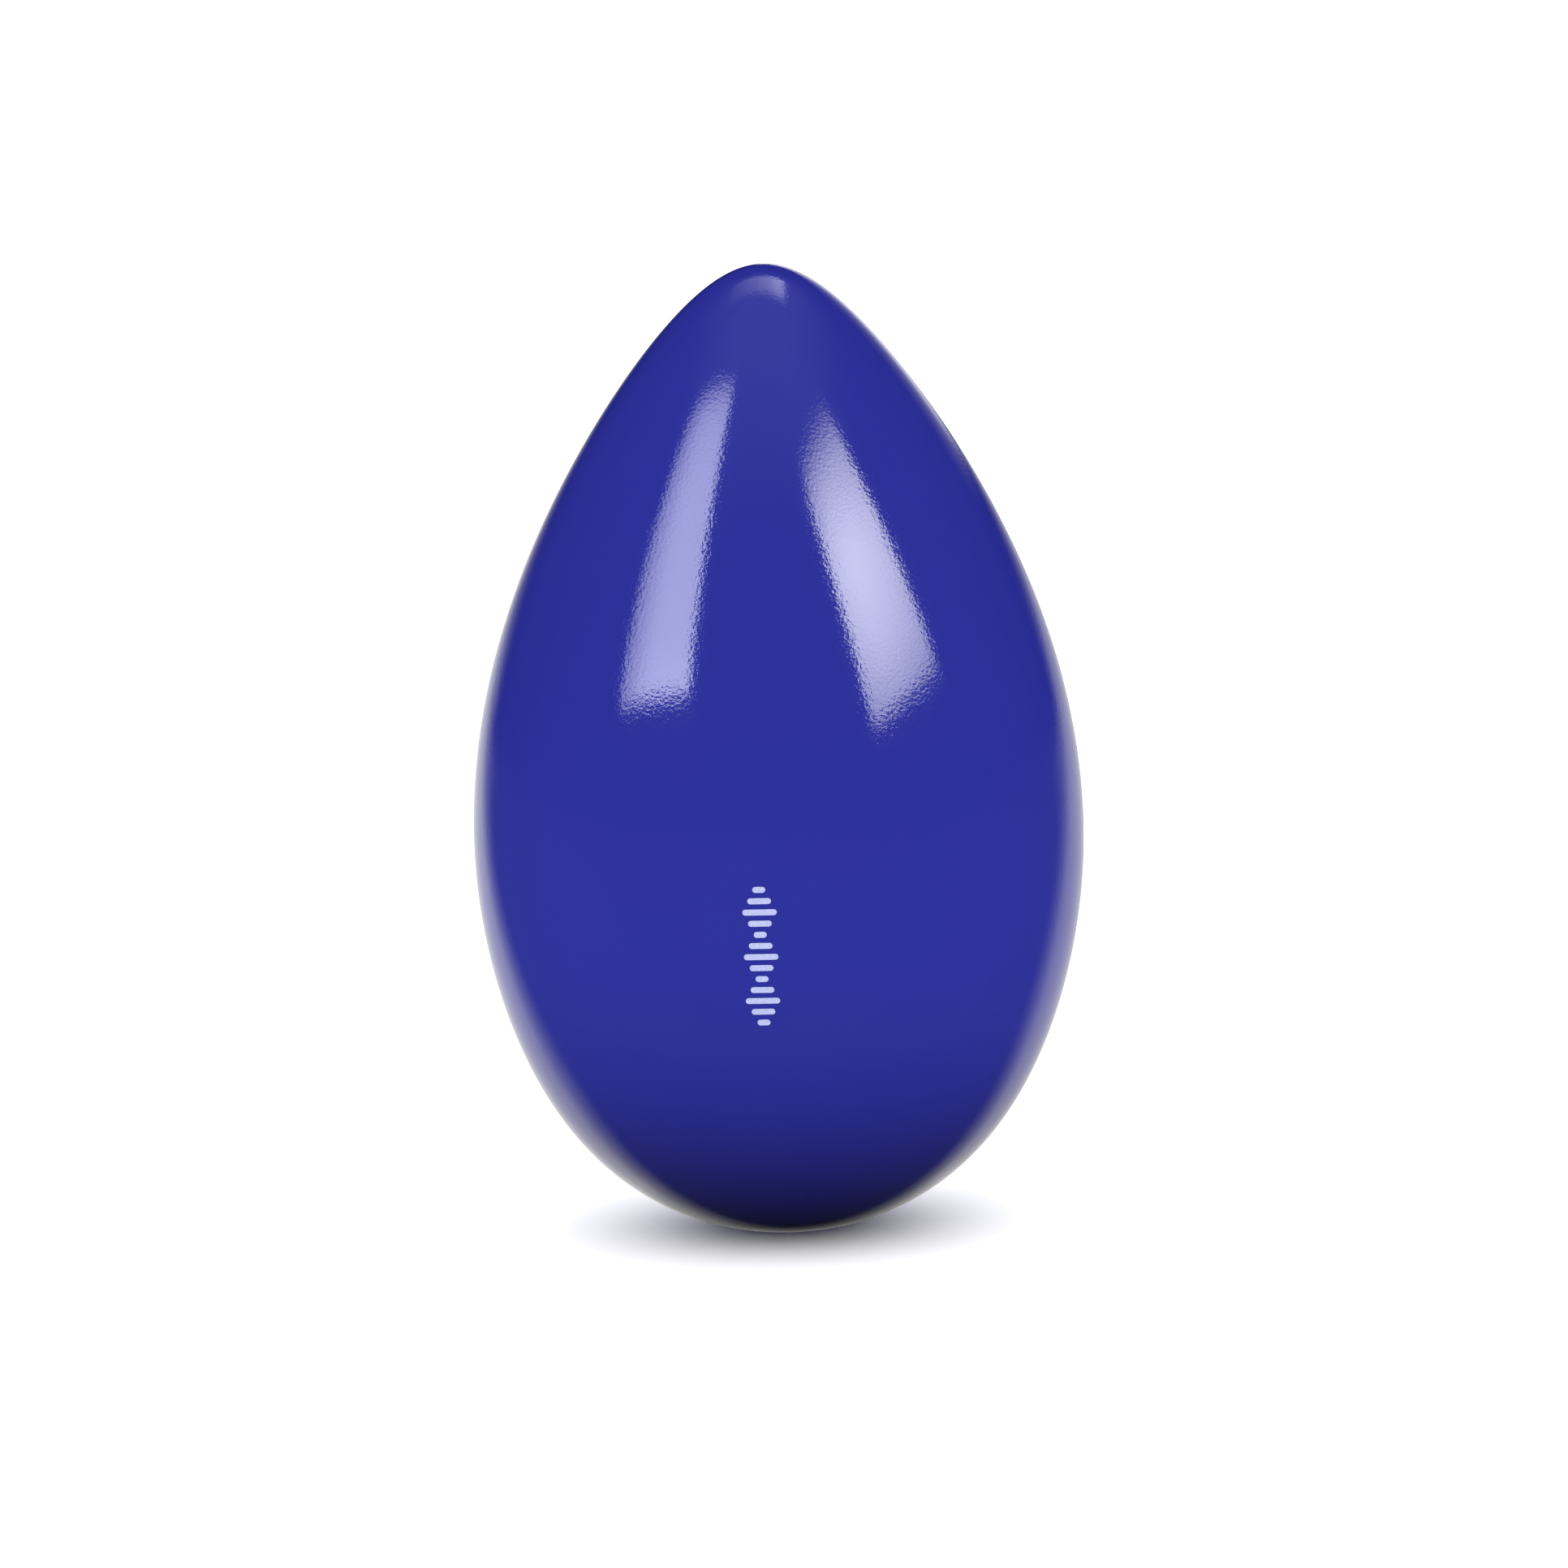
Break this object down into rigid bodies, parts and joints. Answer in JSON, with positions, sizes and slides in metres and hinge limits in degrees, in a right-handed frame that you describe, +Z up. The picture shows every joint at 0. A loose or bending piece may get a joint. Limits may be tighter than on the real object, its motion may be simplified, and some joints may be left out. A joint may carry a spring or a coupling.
{
  "type": "egg shaker",
  "caption": "Hand-held egg-shaped shaker: glossy two-part shell with loose pellets sealed inside and a small flat foot to stand on.",
  "frame": {"origin": "centre of the flat foot, on the surface that the egg stands on", "axes": "+Z up along the egg's axis to its pointed end, the printed mark faces -Y, +X to the right seen from the front"},
  "size_m": [0.044, 0.044, 0.0698],
  "materials": {
    "shell_plastic": "deep ultramarine, high gloss with a faint orange peel",
    "mark_ink": "pale blue-white pad-printed ink",
    "cement": "set clear cement",
    "pellet_steel": "polished ball"
  },
  "bodies": {
    "shell": {"upper_shell": "shell_plastic", "lower_shell": "shell_plastic", "cement_ring": "cement", "printed_mark": "mark_ink"},
    "pellet_01": {"pellet_01": "pellet_steel"},
    "pellet_02": {"pellet_02": "pellet_steel"},
    "pellet_03": {"pellet_03": "pellet_steel"},
    "pellet_04": {"pellet_04": "pellet_steel"},
    "pellet_05": {"pellet_05": "pellet_steel"},
    "pellet_06": {"pellet_06": "pellet_steel"},
    "pellet_07": {"pellet_07": "pellet_steel"},
    "pellet_08": {"pellet_08": "pellet_steel"},
    "pellet_09": {"pellet_09": "pellet_steel"},
    "pellet_10": {"pellet_10": "pellet_steel"},
    "pellet_11": {"pellet_11": "pellet_steel"},
    "pellet_12": {"pellet_12": "pellet_steel"},
    "pellet_13": {"pellet_13": "pellet_steel"},
    "pellet_14": {"pellet_14": "pellet_steel"},
    "pellet_15": {"pellet_15": "pellet_steel"},
    "pellet_16": {"pellet_16": "pellet_steel"},
    "pellet_17": {"pellet_17": "pellet_steel"},
    "pellet_18": {"pellet_18": "pellet_steel"},
    "pellet_19": {"pellet_19": "pellet_steel"}
  },
  "joints": [
    {"name": "pellet_01_flight", "type": "slide", "parent": "shell", "child": "pellet_01", "axis": [0, 0, 1], "range_m": [0, 0.0612]},
    {"name": "pellet_02_flight", "type": "slide", "parent": "shell", "child": "pellet_02", "axis": [0, 0, 1], "range_m": [0, 0.0557]},
    {"name": "pellet_03_flight", "type": "slide", "parent": "shell", "child": "pellet_03", "axis": [0, 0, 1], "range_m": [0, 0.0557]},
    {"name": "pellet_04_flight", "type": "slide", "parent": "shell", "child": "pellet_04", "axis": [0, 0, 1], "range_m": [0, 0.0557]},
    {"name": "pellet_05_flight", "type": "slide", "parent": "shell", "child": "pellet_05", "axis": [0, 0, 1], "range_m": [0, 0.0557]},
    {"name": "pellet_06_flight", "type": "slide", "parent": "shell", "child": "pellet_06", "axis": [0, 0, 1], "range_m": [0, 0.0557]},
    {"name": "pellet_07_flight", "type": "slide", "parent": "shell", "child": "pellet_07", "axis": [0, 0, 1], "range_m": [0, 0.0557]},
    {"name": "pellet_08_flight", "type": "slide", "parent": "shell", "child": "pellet_08", "axis": [0, 0, 1], "range_m": [0, 0.0481]},
    {"name": "pellet_09_flight", "type": "slide", "parent": "shell", "child": "pellet_09", "axis": [0, 0, 1], "range_m": [0, 0.0481]},
    {"name": "pellet_10_flight", "type": "slide", "parent": "shell", "child": "pellet_10", "axis": [0, 0, 1], "range_m": [0, 0.0481]},
    {"name": "pellet_11_flight", "type": "slide", "parent": "shell", "child": "pellet_11", "axis": [0, 0, 1], "range_m": [0, 0.0481]},
    {"name": "pellet_12_flight", "type": "slide", "parent": "shell", "child": "pellet_12", "axis": [0, 0, 1], "range_m": [0, 0.0481]},
    {"name": "pellet_13_flight", "type": "slide", "parent": "shell", "child": "pellet_13", "axis": [0, 0, 1], "range_m": [0, 0.0481]},
    {"name": "pellet_14_flight", "type": "slide", "parent": "shell", "child": "pellet_14", "axis": [0, 0, 1], "range_m": [0, 0.0445]},
    {"name": "pellet_15_flight", "type": "slide", "parent": "shell", "child": "pellet_15", "axis": [0, 0, 1], "range_m": [0, 0.0445]},
    {"name": "pellet_16_flight", "type": "slide", "parent": "shell", "child": "pellet_16", "axis": [0, 0, 1], "range_m": [0, 0.0445]},
    {"name": "pellet_17_flight", "type": "slide", "parent": "shell", "child": "pellet_17", "axis": [0, 0, 1], "range_m": [0, 0.0445]},
    {"name": "pellet_18_flight", "type": "slide", "parent": "shell", "child": "pellet_18", "axis": [0, 0, 1], "range_m": [0, 0.0445]},
    {"name": "pellet_19_flight", "type": "slide", "parent": "shell", "child": "pellet_19", "axis": [0, 0, 1], "range_m": [0, 0.0445]}
  ]
}
